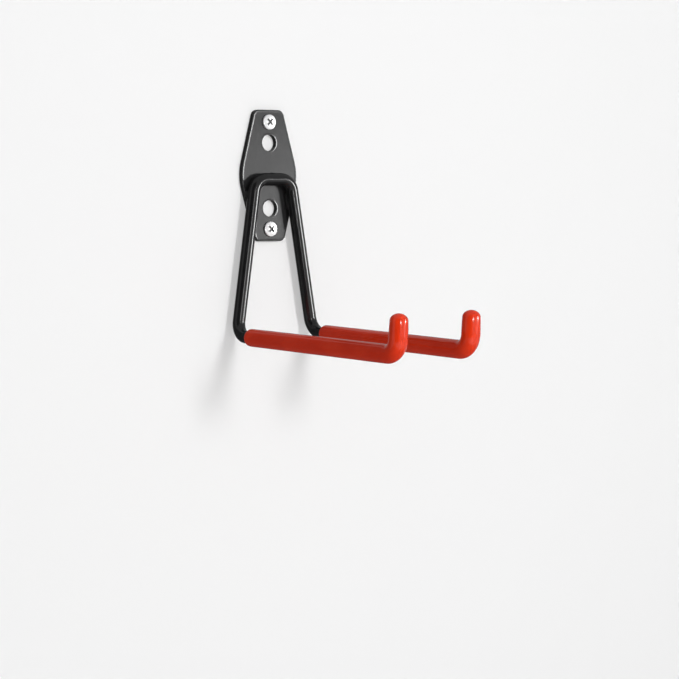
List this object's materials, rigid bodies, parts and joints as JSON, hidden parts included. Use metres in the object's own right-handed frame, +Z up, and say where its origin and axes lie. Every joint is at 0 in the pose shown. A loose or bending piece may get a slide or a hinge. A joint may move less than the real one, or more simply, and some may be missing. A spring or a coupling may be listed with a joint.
{
  "type": "garage utility hook",
  "caption": "Wall hook for long-handled tools: a drilled steel plate with a bent rod whose prongs turn up at the tips and wear soft vinyl sleeves.",
  "frame": {"origin": "centre of the plate's back face, on the wall", "axes": "+X to the right along the wall, +Y into the wall, +Z up; the prongs point along -Y"},
  "size_m": [0.0618, 0.1898, 0.1368],
  "materials": {
    "plate_coat": "satin dark grey powder coat",
    "rod_coat": "semi-gloss black powder coat",
    "sleeve_vinyl": "glossy red-orange dipped vinyl",
    "screw_zinc": "bright zinc plating"
  },
  "bodies": {
    "root": {"mounting_plate": "plate_coat", "hook_rod": "rod_coat", "weld_beads": "rod_coat", "left_prong_sleeve": "sleeve_vinyl", "right_prong_sleeve": "sleeve_vinyl", "mounting_screws": "screw_zinc"}
  },
  "joints": []
}
